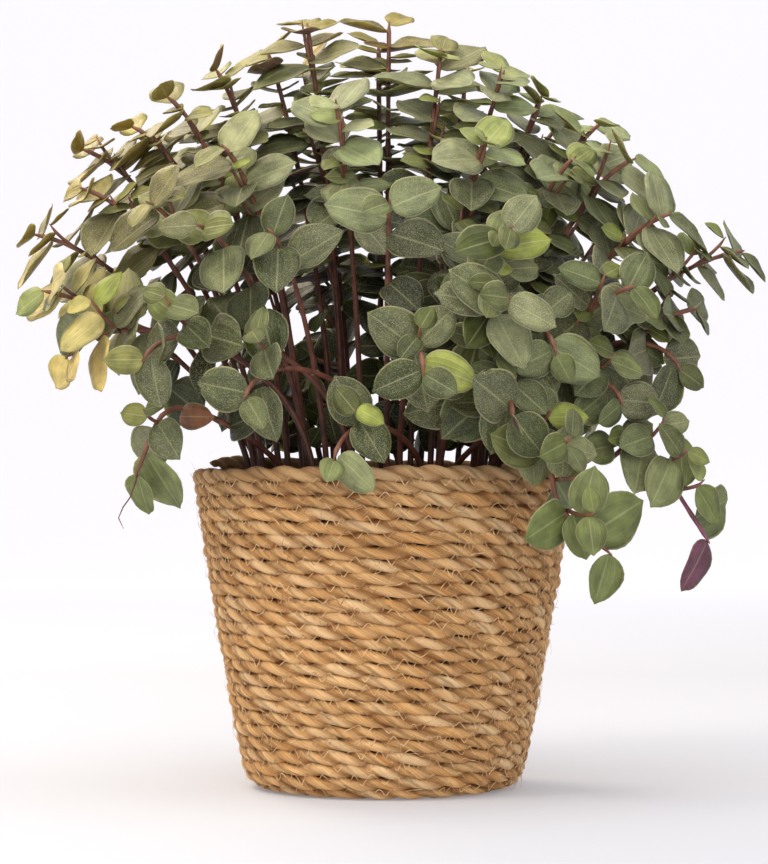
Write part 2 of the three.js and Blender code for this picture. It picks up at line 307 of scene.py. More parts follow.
def coilPoint(climb, turn, profile, lengths):
    # the place, the outward direction and the upward direction on the coil at a climb along the profile
    radius = np.interp(climb, lengths, profile[:, 0])
    height = np.interp(climb, lengths, profile[:, 1])
    ahead = np.clip(climb + 1.5, 0, lengths[-1])
    behind = np.clip(climb - 1.5, 0, lengths[-1])
    rise = np.interp(ahead, lengths, profile[:, 1]) - np.interp(behind, lengths, profile[:, 1])
    run = np.interp(ahead, lengths, profile[:, 0]) - np.interp(behind, lengths, profile[:, 0])
    slope = unit(np.stack([run, rise], 1))
    around = np.stack([np.cos(turn), np.sin(turn), np.zeros_like(turn)], 1)
    place = around * radius[:, None] + np.stack([0 * radius, 0 * radius, height], 1)
    upward = around * slope[:, :1] + np.array([0, 0, 1.0]) * slope[:, 1:]
    outward = around * slope[:, 1:] - np.array([0, 0, 1.0]) * slope[:, :1]
    return place, outward, upward


def seagrassMaterial():
    # dried seagrass, twisted by hand into rope: dull straw with long fibres, with painted shade where the
    # plies meet, between the rows and over the upper rows under the leaves, and a painted highlight on the
    # ply crests
    material, tree, shader = newMaterial("twistedSeagrass", Roughness=0.78, IOR=1.45, Specular_IOR_Level=0.3)
    place = addAttribute(tree, "ropePlace")
    tone = addParts(tree, addAttribute(tree, "ropeShadeAndTone"))
    # fibres about 0.2 mm apart across a ply and 8 mm long, over blotches 2 mm across and 3 cm long
    stretch = addNode(tree, "ShaderNodeMapping", {"Vector": place, "Scale": (0.12, 4.6, 1.0)})
    fibre = addNoise(tree, stretch.outputs[0], 1.0, 4.0)
    coarse = addNode(tree, "ShaderNodeMapping", {"Vector": place, "Scale": (0.035, 0.5, 1.0)})
    blotch = addNoise(tree, coarse.outputs[0], 1.0, 2.0)
    straw = addRamp(tree, fibre, [(0.36, "#b97a38"), (0.5, "#f0b773"), (0.66, "#ffdba0")])
    patch = addRamp(tree, blotch, [(0.32, "#e6a255"), (0.68, "#ffdfa9")])
    both = addMix(tree, 0.36, straw, patch)
    # painted shade in the ply creases and in the gaps between rows, with some lumps darker at random
    gapShadeAndTone = addMix(tree, tone["X"], both, linear("#8a5222"))
    # painted highlight on the ply crests, on the lumps whose random tone is light
    crestHighlightAndTone = addMix(tree, tone["Y"], gapShadeAndTone, linear("#ffe2b6"))
    # painted shade from the leaves over the upper rows, greying them
    leafShadeColour = addMix(tree, addMath(tree, "MULTIPLY", tone["Z"], 0.5), crestHighlightAndTone, linear("#94795a"))
    tree.links.new(leafShadeColour, shader.inputs["Base Color"])
    addBump(tree, shader, fibre, 1.0, 0.0009)
    return material


def stitchMaterial():
    # single dry grass blades used as sewing thread: thin, pale and a little shiny
    material, tree, shader = newMaterial("grassThread", Roughness=0.6, IOR=1.45)
    mottle = addNoise(tree, addPlace(tree), 260.0, 2.0)
    colour = addRamp(tree, mottle, [(0.35, "#9a6a3a"), (0.62, "#f2d2a2")])
    tree.links.new(colour, shader.inputs["Base Color"])
    return material


def makeBasket():
    profile, lengths = coilProfile()
    pitch, rope = basket["pitch"], basket["ropeRadius"]
    fine = np.linspace(0, lengths[-1], 20000)
    radius = np.interp(fine, lengths, profile[:, 0])
    speed = np.sqrt(1 + (2 * math.pi * radius / pitch) ** 2)
    travelled = np.concatenate([[0], np.cumsum((speed[1:] + speed[:-1]) / 2 * np.diff(fine))])
    count = int(travelled[-1] / basket["step"])
    along = np.linspace(0, travelled[-1], count)
    climb = np.interp(along, travelled, fine)
    turn = 2 * math.pi * climb / pitch
    place, outward, upward = coilPoint(climb, turn, profile, lengths)
    onWall = rising(place[:, 2], 4, 6)
    place = place + outward * (wander(along, 19, 3) * 0.34 * onWall)[:, None]
    sway = 0.3 * np.sin(3 * turn + place[:, 2] / 17) + 0.25 * np.sin(5 * turn - place[:, 2] / 21)
    place = place + upward * ((sway + wander(along, 27, 4) * 0.2) * onWall)[:, None]
    # two plies: the section has two lobes with creases between them, and it turns as the rope runs,
    # so the plies lie slanting down to the right on the outside
    sides, plies = basket["sides"], basket["plies"]
    local = np.arange(sides) * 2 * math.pi / sides
    lobe = 0.5 + 0.5 * np.cos(local * plies)
    turned = -2 * math.pi * along / basket["twist"] + wander(along, 40, 5) * 1.6
    angle = local[None, :] + turned[:, None]
    owner = np.rint(local * plies / (2 * math.pi)).astype(int) % plies
    fullness = np.stack([wander(along, 8, 60 + ply) for ply in range(plies)], 1)[:, owner]
    thick = 1 + 0.06 * wander(along, 15, 6)[:, None]
    radii = rope * thick * (0.66 + 0.40 * lobe[None, :] ** 0.6 + 0.12 * fullness * lobe[None, :])
    ends = np.minimum(along, along[-1] - along)
    radii *= np.clip(ends / 14, 0.05, 1)[:, None] ** 0.5
    ring = np.cos(angle)[..., None] * outward[:, None] + np.sin(angle)[..., None] * upward[:, None] * 1.14
    rings = place[:, None] + ring * radii[..., None]
    points = np.concatenate([rings.reshape(-1, 3), place[:1], place[-1:]])
    points[:, 2] = np.maximum(points[:, 2], 0.0)
    quads, fans = tubeFaces(count, sides)
    # each visible run of a ply is a lump of its own, with its own tone and its own piece of the fibre pattern
    plyAngle = turned[:, None] + owner[None, :] * 2 * math.pi / plies
    lump = (np.rint(plyAngle / (2 * math.pi)).astype(int) * plies + owner[None, :]) % basket["lumps"]
    shades = np.random.default_rng(8).uniform(-1, 1, basket["lumps"])[lump]
    ropePlace = np.stack([along[:, None] + 0 * angle, local[None, :] * rope + 0 * angle, lump * 3.7], -1)
    ropePlace = np.concatenate([ropePlace.reshape(-1, 3), ropePlace[0, :1], ropePlace[-1, -1:]])
    # painted shade in the creases between the plies and in the gaps above and below the rope, and some lumps
    # darker at random
    crease = (1 - lobe[None, :]) ** 1.5 * (0.5 + 0.25 * wander(along, 11, 7)[:, None])
    gapSide = np.clip(np.abs(np.sin(angle)) - 0.7, 0, 1) * (1.5 + 1.0 * wander(along, 13, 10)[:, None])
    gapShadeAndTone = np.clip(crease + gapSide + 0.24 * np.clip(-shades, 0, 1), 0, 0.9)
    # painted highlight on the crest of each ply, only on lumps whose random tone is light
    crestHighlightAndTone = np.clip(shades, 0, 1) * 0.55 * lobe[None, :]
    # painted shade from the leaves over the upper rows
    shaded = rising(place[:, 2], basket["leafShadeFrom"], 16)[:, None] + 0 * angle
    tone = np.stack([gapShadeAndTone, crestHighlightAndTone, shaded], -1)
    tone = np.concatenate([tone.reshape(-1, 3), tone[0, :1], tone[-1, -1:]])
    piece = meshPiece(
        "sewnRopeCoil", points * 0.001, [(quads, 0), (fans, 0)], [seagrassMaterial()],
        {"ropePlace": ropePlace, "ropeShadeAndTone": tone},
    )
    print("rope:", count, "rings,", round(travelled[-1] / 1000, 2), "m")
    return piece, profile, lengths


def makeStitches(profile, lengths):
    # a thread that zigzags over each gap between two rows, from near the middle of one to near the next's
    pitch, rope = basket["pitch"], basket["ropeRadius"]
    start = np.interp(basket["footRadius"] - 12, profile[:, 0], lengths)
    fine = np.linspace(start, lengths[-1] - pitch * 1.05, 12000)
    radius = np.interp(fine, lengths, profile[:, 0])
    travelled = np.concatenate([[0], np.cumsum(2 * math.pi * radius[1:] / pitch * np.diff(fine))])
    perStitch = 8
    count = int(travelled[-1] / basket["stitch"]) * perStitch
    along = np.linspace(0, travelled[-1], count)
    climb = np.interp(along, travelled, fine)
    turn = 2 * math.pi * climb / pitch
    phase = along / basket["stitch"] + wander(along, 13, 12) * 0.8
    zigzag = np.abs((phase % 1) * 2 - 1)  # 0 on the row below, 1 on the row above
    zigzag = 0.5 + (zigzag - 0.5) * (0.78 + 0.26 * wander(along, 7, 14))
    place, outward, _ = coilPoint(climb + zigzag * pitch, turn, profile, lengths)
    fromGap = np.abs(zigzag - 0.5) * 2
    stand = rope * (0.60 + 0.40 * fromGap**0.7 + 0.10 * wander(along, 6, 15))
    centres = place + outward * stand[:, None]
    forward = unit(np.gradient(centres, axis=0))
    across = unit(np.cross(forward, outward))
    radii = np.full((count, 4), basket["stitchRadius"]) * (1 + 0.3 * wander(along, 9, 13))[:, None]
    points = tubeGrid(centres, np.cross(across, forward), across, radii)
    points[:, 2] = np.maximum(points[:, 2], 0.0)
    quads, fans = tubeFaces(count, 4)
    piece = meshPiece("sewingThread", points * 0.001, [(quads, 0), (fans, 0)], [stitchMaterial()])
    print("thread:", count, "rings")
    return piece


def makeStrayFibres(profile, lengths):
    # short loose ends of grass that stand a millimetre or two off the wall
    rng = np.random.default_rng(21)
    count, rings, sides = basket["strayFibres"], 6, 3
    lowest = np.interp(basket["footRadius"] - 3, profile[:, 0], lengths) + 8
    climb = rng.uniform(lowest, lengths[-1] - 4, count)
    turn = rng.uniform(0, 2 * math.pi, count)
    place, outward, upward = coilPoint(climb, turn, profile, lengths)
    around = np.cross(upward, outward)
    share = np.linspace(0, 1, rings)
    length = rng.uniform(3.5, 13, count)
    lean = rng.uniform(-1.5, 1.5, count)
    way = around * np.cos(lean)[:, None] + upward * np.sin(lean)[:, None]
    way *= np.where(rng.uniform(size=count) < 0.5, -1, 1)[:, None]
    stand = rng.uniform(-0.1, 1.5, count)
    line = place[:, None] + way[:, None] * (share[None, :, None] * length[:, None, None])
    lift = basket["ropeRadius"] * 0.9 + stand[:, None] * np.sin(share * math.pi * 0.6)[None, :]
    line = line + outward[:, None] * lift[:, :, None]
    curl = rng.uniform(-2, 2, count)[:, None] * share[None, :] ** 2
    line = line + upward[:, None] * curl[:, :, None]
    line[..., 2] = np.maximum(line[..., 2], 0.3)
    quads, fans = tubeFaces(rings, sides)
    points, quadSets, fanSets = [], [], []
    each = rings * sides + 2
    for i in range(count):
        forward = unit(np.gradient(line[i], axis=0))
        across = unit(np.cross(forward, outward[i]))
        radii = np.full((rings, sides), 0.1) * (1 - 0.6 * share)[:, None]
        points.append(tubeGrid(line[i], np.cross(across, forward), across, radii))
        quadSets.append(quads + i * each)
        fanSets.append(fans + i * each)
    faceSets = [(np.concatenate(quadSets), 0), (np.concatenate(fanSets), 0)]
    thread = bpy.data.materials["grassThread"]
    return meshPiece("strayFibres", np.concatenate(points) * 0.001, faceSets, [thread])


# ---- pot, liner and soil ----
potting = {
    "soilTop": 110.0, "potFloor": 7.4, "floorBore": 43, "mouthBore": 61, "potHeight": 118, "lipRadius": 64.5,
}


def linerMaterial():
    # thin black polythene film: smooth, a little wavy and shiny
    material, tree, shader = newMaterial("blackPolytheneFilm", Base_Color=linear("#1f2021"), Roughness=0.28)
    addBump(tree, shader, addNoise(tree, addPlace(tree), 60.0, 2.0), 0.5, 0.002)
    return material


def growerPotMaterial():
    # recycled polypropylene, thermoformed: charcoal, satin, with faint flow marks and dusty scuffs
    material, tree, shader = newMaterial("recycledPolypropylene", Roughness=0.45)
    scuff = addNoise(tree, addPlace(tree), 90.0, 5.0)
    colour = addRamp(tree, scuff, [(0.4, "#2f3032"), (0.75, "#4d4a47")])
    tree.links.new(colour, shader.inputs["Base Color"])
    tree.links.new(addRange(tree, scuff, 0, 1, 0.38, 0.62), shader.inputs["Roughness"])
    return material


def soilMaterial():
    # moist peat and composted bark: dark brown crumbs of 1 to 4 mm
    material, tree, shader = newMaterial("moistPeat", Roughness=0.92, Specular_IOR_Level=0.25)
    place = addPlace(tree)
    crumb = addNode(tree, "ShaderNodeTexVoronoi", {"Vector": place, "Scale": 420.0})
    hue = addParts(tree, crumb.outputs["Color"])["X"]
    colour = addRamp(tree, hue, [(0, "#1c120b"), (1, "#5a3c26")])
    tree.links.new(colour, shader.inputs["Base Color"])
    height = addMath(tree, "ADD", crumb.outputs["Distance"], addNoise(tree, place, 900.0, 4.0))
    addBump(tree, shader, height, 0.9, 0.001)
    return material


def makeSoil():
    # a turned plug whose top is heaped and crumbly: the height is the fill level plus three scales of lumps
    low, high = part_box("potting_soil")
    reach = (high.x - low.x) / 2 * 1000 - 0.2
    top, bottom = high.z * 1000, low.z * 1000
    rings, sides = 30, 96
    angle = np.linspace(0, 2 * math.pi, sides, endpoint=False)
    share = np.linspace(1, 1 / rings, rings)
    footReach = reach * 0.715
    radius = np.concatenate([[footReach * 0.5, footReach], share * reach])
    radius = np.insert(radius, 2, reach * 0.86)
    flat = np.array([bottom, bottom, (bottom + top) / 2])
    x = radius[:, None] * np.cos(angle)
    y = radius[:, None] * np.sin(angle)
    lumps = 0.9 * np.sin(x * 0.21 + 1.3) * np.cos(y * 0.17)
    lumps += 0.7 * np.sin(x * 0.63 + y * 0.41) * np.cos(y * 0.57 - x * 0.3)
    grit = np.random.default_rng(31).uniform(-0.5, 0.5, x.shape)
    z = np.full_like(x, top - 1.6) + lumps + grit
    z[:3] = flat[:, None]
    points = np.stack([x, y, np.minimum(z, top)], -1).reshape(-1, 3)
    middle = [[0, 0, bottom], [0, 0, top - 1.5]]
    points = np.concatenate([points, middle])
    quads, fans = tubeFaces(len(radius), sides)
    return meshPiece("peatPlug", points * 0.001, [(quads, 0), (fans, 0)], [soilMaterial()])


# ---- how the shoots grow: the same rules as the CAD, in millimetres ----
stemRule = {"radius": 1.35, "step": 20, "clearance": 1.1, "joint": 0.7, "tests": 45, "tries": 24}
leafRule = {"width": 0.74, "clearance": 1.1}
facing = {
    "middle": np.array([0, 25, 165.0]), "axis": 0.4, "up": 0.3, "outward": 0.75, "window": 0.42, "sway": 0.45,
    "flatten": 0.6,
}
rootLevel = potting["soilTop"] + 0.4
namedTips = [  # x, y, z of the tip, and the number of leaves
    [2, 22, 299, 8], [-30, 4, 296, 8], [22, -14, 284, 8], [46, -18, 275, 8], [-18, -52, 260, 7],
    [-46, 14, 287, 8], [-66, 6, 279, 8], [-84, -14, 266, 8], [62, 4, 269, 8], [84, -8, 256, 8],
    [-60, -56, 243, 7], [-88, -54, 222, 8], [-68, -78, 212, 6], [-99, 2, 256, 8], [-119, 14, 248, 7],
    [-116, -20, 230, 8], [-137, 4, 214, 7], [-129, -34, 190, 8], [-119, -42, 164, 8], [-88, -74, 162, 6],
    [-42, -80, 210, 4], [2, -86, 220, 6], [38, -52, 246, 8], [46, -94, 210, 8], [45, -106, 184, 7],
    [14, -112, 156, 6], [-50, -96, 148, 3], [-18, -97, 126, 2], [62, -86, 164, 7], [46, -102, 140, 7],
    [72, -42, 240, 8], [95, -32, 240, 7], [107, -48, 218, 8], [141, 12, 208, 5], [92, -68, 190, 8],
    [120, -22, 184, 7], [112, -30, 160, 6], [88, -62, 146, 7],
]
hangingShoots = [  # the points it passes, the first of them on the soil, its leaves and its first leaf's side
    {
        "through": [[24, -38], [46, -66, 139], [58, -84, 131], [63, -90, 110], [82, -90, 92]],
        "count": 6, "heading": 80,
    },
    {
        "through": [
            [40, -20], [62, -37, 137], [82, -46, 126], [95, -47, 135], [104, -48, 122], [121, -50, 95],
        ],
        "count": 2, "heading": 60,
    },
    {
        "through": [[-36, -22], [-58, -36, 139], [-80, -46, 145], [-92, -54, 120]],
        "count": 6, "heading": 70,
    },
]
domeRows = [  # height, reach from the axis, and how many
    [284, 40, 3], [262, 78, 4], [226, 108, 4], [182, 114, 2], [146, 100, 2],
]
behind = [8, 172]  # degrees round the axis that the rows cover, at the back
upAxis = np.array([0, 0, 1.0])


def chance(*keys):
    # the same number from 0 to 1 for the same whole-number keys
    mixed = 2166136261
    for key in keys:
        mixed = ((mixed ^ (key + 101)) * 16777619) & 0xFFFFFFFF
        mixed = ((mixed ^ (mixed >> 15)) * 2246822507) & 0xFFFFFFFF
        mixed ^= mixed >> 13
    return mixed / 4294967296


def spread(amount, *keys):
    return amount * (2 * chance(*keys) - 1)


def rotated(vector, axis, angle):
    # a vector turned about a unit axis
    return (
        vector * math.cos(angle)
        + np.cross(axis, vector) * math.sin(angle)
        + axis * np.dot(axis, vector) * (1 - math.cos(angle))
    )


class StemCurve:
    # a smooth line that is measured, so that points can be taken at even shares of its length
    def __init__(self, formula):
        self.formula = formula
        self.grid = np.linspace(0, 1, 201)
        points = formula(self.grid)
        steps = np.linalg.norm(np.diff(points, axis=0), axis=1)
        self.travelled = np.concatenate([[0], np.cumsum(steps)])
        self.length = float(self.travelled[-1])

    def at(self, share):
        t = np.interp(np.asarray(share, float) * self.length, self.travelled, self.grid)
        return self.formula(t)

    def tangent(self, share):
        t = np.interp(np.asarray(share, float) * self.length, self.travelled, self.grid)
        ahead, back = np.minimum(t + 1e-4, 1), np.maximum(t - 1e-4, 0)
        return unit(self.formula(ahead) - self.formula(back))

    def onTube(self, share):
        # the point on the CAD tube's straight steps
        steps = max(4, math.floor(self.length / stemRule["step"] + 0.5))
        share = np.asarray(share, float)
        low = np.minimum(np.floor(share * steps), steps - 1)
        first, second = self.at(low / steps), self.at((low + 1) / steps)
        return first + (second - first) * (share * steps - low)[..., None]


def bezier(a, b, c, d):
    # a cubic from a to d with handles b and c
    def formula(t):
        t = np.asarray(t, float)[..., None]
        s = 1 - t
        return s**3 * a + 3 * s * s * t * b + 3 * s * t * t * c + t**3 * d

    return StemCurve(formula)


def smoothThrough(points):
    # a centripetal Catmull-Rom line through the points
    points = np.array(points, float)
    wide = np.concatenate([[2 * points[0] - points[1]], points, [2 * points[-1] - points[-2]]])

    def formula(t):
        p = np.asarray(t, float) * (len(points) - 1)
        i = np.minimum(np.floor(p).astype(int), len(points) - 2)
        w = (p - i)[..., None]
        p0, p1, p2, p3 = (wide[i + k] for k in range(4))
        d0, d1, d2 = (
            np.sum((b - a) ** 2, -1, keepdims=True) ** 0.25 for a, b in ((p0, p1), (p1, p2), (p2, p3))
        )
        m1 = ((p1 - p0) / d0 - (p2 - p0) / (d0 + d1) + (p2 - p1) / d1) * d1
        m2 = ((p2 - p1) / d1 - (p3 - p1) / (d1 + d2) + (p3 - p2) / d2) * d1
        cube = 2 * p1 - 2 * p2 + m1 + m2
        square = -3 * p1 + 3 * p2 - 2 * m1 - m2
        return p1 + m1 * w + square * w * w + cube * w**3

    return StemCurve(formula)


def hangingCurve(through, turn):
    points = [np.array(p if len(p) == 3 else [*p, rootLevel], float) for p in through]
    points[0] = rotated(points[0], upAxis, turn * 0.3)
    points.insert(1, points[0] + upAxis * 9)
    return smoothThrough(points)


shootRule = {
    "rootFrom": 6, "rootShare": 0.38, "rootReach": 50, "lowRise": 62, "crestOver": 22, "fullBend": 95,
}


def shootCurve(tip, index, turn):
    # rises from the soil and leans out to its tip; a low tip is reached by arching over the rim
    out = math.hypot(tip[0], tip[1])
    around = math.atan2(tip[1], tip[0]) + turn
    outward = shootRule["rootFrom"] + out * shootRule["rootShare"] + spread(5, index, 1)
    rootReach = min(shootRule["rootReach"], outward)
    root = np.array([rootReach * math.cos(around), rootReach * math.sin(around), rootLevel])
    rise = tip[2] - rootLevel
    if rise < shootRule["lowRise"]:
        crest = max(tip[2], basket["height"]) + shootRule["crestOver"]
        high = np.array([root[0], root[1], crest])
        above = np.array([tip[0], tip[1], crest]) * 0.88 + high * 0.12
        return bezier(root, high - upAxis * 8, above, tip)
    bend = min(1, out / shootRule["fullBend"])
    first = root + (tip - root) * 0.05
    second = root + (tip - root) * (0.68 - 0.12 * bend)
    first[2] = rootLevel + rise * 0.42
    second[2] = rootLevel + rise * (0.76 + 0.18 * bend)
    return bezier(root, first, second, tip)


def potBore(z):
    # the grower pot's inner radius, which widens evenly from its floor to its mouth
    low, floorBore = potting["potFloor"], potting["floorBore"]
    return floorBore + (potting["mouthBore"] - floorBore) * (z - low) / (potting["potHeight"] - low)


def roomOf(points, earlier):
    # the least gap from these points to the earlier stems, or less than 0 where they run into a rim
    reach, height = np.hypot(points[:, 0], points[:, 1]), points[:, 2]
    rim = np.where(reach < potting["lipRadius"], potting["potHeight"], basket["height"]) + 3
    inRim = (reach >= potBore(potting["soilTop"]) - 2) & (reach <= basket["rimRadius"] + 4)
    least = -1.0 if (inRim & (height < rim)).any() else 100.0
    if len(earlier):
        gaps = np.linalg.norm(points[:, None] - earlier[None], axis=-1)
        least = min(least, float(gaps.min()))
    return least


def tipsOfDome():
    tips = []
    for row, (height, reach, count) in enumerate(domeRows):
        for i in range(count):
            share = (i + 0.5 + spread(0.18, row, i, 11)) / count
            around = math.radians(behind[0] + (behind[1] - behind[0]) * share)
            far = reach * (1 + spread(0.1, row, i, 12))
            tips.append([far * math.cos(around), far * math.sin(around), height + spread(9, row, i, 13), 8])
    return tips


def growStems():
    standing = [{"tip": np.array(t[:3], float), "count": t[3]} for t in namedTips + tipsOfDome()]
    stems = []
    earlier = np.zeros((0, 3))
    enough = 2 * stemRule["radius"] + stemRule["clearance"]
    for index, plan in enumerate(hangingShoots + standing):
        best = None
        for tryNumber in range(stemRule["tries"]):
            turn = 0 if tryNumber == 0 else spread(0.75, index, tryNumber, 21)
            if "through" in plan:
                curve = hangingCurve(plan["through"], turn)
            else:
                curve = shootCurve(plan["tip"], index * 40 + tryNumber, turn)
            points = curve.onTube(np.linspace(0, 1, stemRule["tests"] + 1))
            room = roomOf(points, earlier)
            if best is None or room > best["room"]:
                best = {"room": room, "curve": curve, "points": points, "index": index}
            if best["room"] >= enough:
                break
        best["count"] = plan["count"]
        best["rule"] = trailing if "through" in plan else upright
        best["heading"] = plan.get("heading", chance(index, 7) * 360)
        stems.append(best)
        earlier = np.concatenate([earlier, best["points"]])
    return stems


# ---- leaves ----
rimCount = 10  # points round a leaf's rim, from its tip
rimAngle = np.arange(rimCount) * math.pi / 5
shapeKeys = ("centre", "along", "side", "normal", "length", "width")
upright = {
    "steps": [1.5, 4, 9, 17, 27, 38, 50, 63, 77],
    "lengths": [13, 17.5, 20.5, 22, 22, 21.5, 20.5, 19, 17.5],
    "lifts": [42, 30, 20, 12, 6, 2, 0, -4, -6],
}
trailing = {
    "steps": [2, 12, 24, 37, 50, 63],
    "lengths": [19, 22, 24, 24, 22, 20],
    "lifts": [30, 14, 8, 4, 0, 0],
}
turnTries = [0, 26, -26, 52, -52, 80, -80, 110, -110]
sizeTries = [1, 0.82, 0.66]


class Crown:
    # all the leaves so far, with the arrays that the fitting test reads
    def __init__(self, stems):
        self.leaves = []
        self.stemPoints = np.concatenate([s["points"] for s in stems])
        self.stemOwner = np.concatenate([np.full(len(s["points"]), s["index"]) for s in stems])
        self.fields = {key: np.zeros((0, 3)) for key in shapeKeys[:4]}
        self.rims = np.zeros((0, rimCount, 3))
        self.sizes = np.zeros((0, 2))
        self.owner = np.zeros(0, int)

    def add(self, leaf):
        self.leaves.append(leaf)
        for key in self.fields:
            self.fields[key] = np.concatenate([self.fields[key], leaf[key][None]])
        self.rims = np.concatenate([self.rims, leaf["rim"][None]])
        self.sizes = np.concatenate([self.sizes, [[leaf["length"], leaf["width"]]]])
        self.owner = np.append(self.owner, leaf["owner"])


def makeLeaf(base, along, face, length, owner):
    side = unit(np.cross(along, face))
    normal = unit(np.cross(side, along))
    width = length * leafRule["width"]
    centre = base + along * length / 2
    lengthways = along * (np.cos(rimAngle) * length / 2)[:, None]
    rim = centre + lengthways + side * (np.sin(rimAngle) * width / 2)[:, None]
    return {
        "base": base, "along": along, "side": side, "normal": normal, "length": length, "width": width,
        "centre": centre, "rim": rim, "owner": owner,
    }


def overLeaf(points, shape, room, edge):
    # whether points lie within a leaf's outline and nearer its face than the room asked for
    centre, along, side, normal, length, width = shape
    d = points - centre
    a = np.sum(d * along, -1) / (length / 2 + edge)
    b = np.sum(d * side, -1) / (width / 2 + edge)
    return (a * a + b * b < 1) & (np.abs(np.sum(d * normal, -1)) < room)


def edgesCross(rims, shape, keep):
    # whether a leaf's rim runs into, or passes through, another leaf
    centre, normal = shape[0], shape[3]
    after = np.roll(rims, -1, axis=-2)
    near = overLeaf(rims, shape, leafRule["clearance"], 0.5)
    hp = np.sum((rims - centre) * normal, -1)
    hq = np.sum((after - centre) * normal, -1)
    gap = np.where(hp * hq < 0, hp - hq, 1)
    cut = rims + (after - rims) * (hp / gap)[..., None]
    through = (hp * hq < 0) & overLeaf(cut, shape, 0.2, 0.5)
    return ((near | through) & keep).any(-1)


def leafFits(leaf, crown):
    # whether a leaf keeps clear of the basket, of the leaves so far and of the other stems
    z = leaf["rim"][:, 2]
    reach = np.hypot(leaf["rim"][:, 0], leaf["rim"][:, 1])
    if ((z <= basket["height"] + 1.5) & (reach < basketRadius(z) + 1.5)).any():
        return False
    shape = [leaf[key] for key in shapeKeys]
    apart = np.linalg.norm(crown.fields["centre"] - leaf["centre"], axis=1)
    close = np.nonzero(apart <= (crown.sizes[:, 0] + leaf["length"]) / 2 + 2)[0]
    if len(close):
        # two leaves of one stem may meet near it, at the foot of their rims
        outer = np.ones((len(close), rimCount), bool)
        outer[crown.owner[close] == leaf["owner"], 3:8] = False
        others = [crown.fields[key][close][:, None] for key in shapeKeys[:4]]
        others += [crown.sizes[close, i][:, None] for i in (0, 1)]
        rim = np.broadcast_to(leaf["rim"], (len(close), rimCount, 3))
        if edgesCross(rim, others, outer).any() or edgesCross(crown.rims[close], shape, outer).any():
            return False
    otherStems = crown.stemPoints[crown.stemOwner != leaf["owner"]]
    room, edge = stemRule["radius"] + stemRule["clearance"], stemRule["radius"] + 1
    return not overLeaf(otherStems, shape, room, edge).any()


def faceAt(base, axis, owner, i):
    # leaves turn their faces up, out of the crown and to a window in front
    outward = unit(base - facing["middle"])
    face = axis * facing["axis"] + outward * facing["outward"] + upAxis * facing["up"]
    face[:2] += [spread(facing["sway"], owner, i, 6), spread(facing["sway"], owner, i, 8) - facing["window"]]
    return unit(face)


def leafyStem(stem, crown):
    curve, owner, rule = stem["curve"], stem["index"], stem["rule"]
    pace = (1 + spread(0.16, owner, 9)) / curve.length
    for i in range(stem["count"]):
        at = 1 - rule["steps"][i] * pace
        if at < 0.12:
            break
        base, axis = curve.onTube(at), curve.tangent(at)
        reference = np.array([1.0, 0, 0]) if abs(axis[2]) > 0.9 else upAxis
        across = unit(np.cross(axis, reference))
        lift = math.radians(rule["lifts"][i] + spread(9, owner, i, 3))
        face = faceAt(base, axis, owner, i)
        for size, turn in ((size, turn) for size in sizeTries for turn in turnTries):
            angle = math.radians(stem["heading"] + i * 156 + turn + spread(14, owner, i, 2))
            along = rotated(across, axis, angle) * math.cos(lift) + axis * math.sin(lift)
            along[2] += spread(0.12, owner, i, 4)
            along = unit(along - face * facing["flatten"] * np.dot(along, face))
            span = rule["lengths"][i] * size * (1 + spread(0.13, owner, i, 5))
            leaf = makeLeaf(base + along * stemRule["joint"], along, face, span, owner)
            if leafFits(leaf, crown):
                crown.add(leaf)
                stem["until"] = max(stem.get("until", 0), at)
                break


twigRule = {
    "places": [24, 36, 50, 64], "lowest": 0.25, "length": 16,
    "backPlaces": [24, *range(36, 163, 14)], "backLowest": 0.06, "backFrom": 12,
    "leaves": [1.0, 4.5, 10, 16], "leafLengths": [10, 14, 18, 19],
    "sizeTries": [1, 0.8, 0.62], "turnTries": [0, 35, -35, 70, -70, 100],
}
openFront = {"across": (-74, 20), "height": (120, 208), "tallTip": 165}  # bare stems show here, low in front


def twigLeaves(twig, owner, k, crown):
    # puts up to four leaves on a twig, each at the first size and turn that fits, and gives their places
    kept = []
    for i, back in enumerate(twigRule["leaves"]):
        share = 1 - back / twig.length
        if share < 0.1:
            break
        foot, way = twig.at(share), twig.tangent(share)
        sideways = unit(np.cross(way, upAxis + 0.01))
        for size, turn in ((size, turn) for size in twigRule["sizeTries"] for turn in twigRule["turnTries"]):
            angle = math.radians(chance(owner, k, 34) * 360 + i * 172 + turn)
            along = unit(rotated(sideways, way, angle) + way * 0.35)
            span = twigRule["leafLengths"][i] * size * (1 + spread(0.15, owner, k, i + 35))
            face = faceAt(foot, way, owner, 10 * k + i)
            along = unit(along - face * facing["flatten"] * np.dot(along, face))
            leaf = makeLeaf(foot + along * 0.6, along, face, span, owner)
            if leafFits(leaf, crown):
                crown.add(leaf)
                kept.append(share)
                break
    return kept


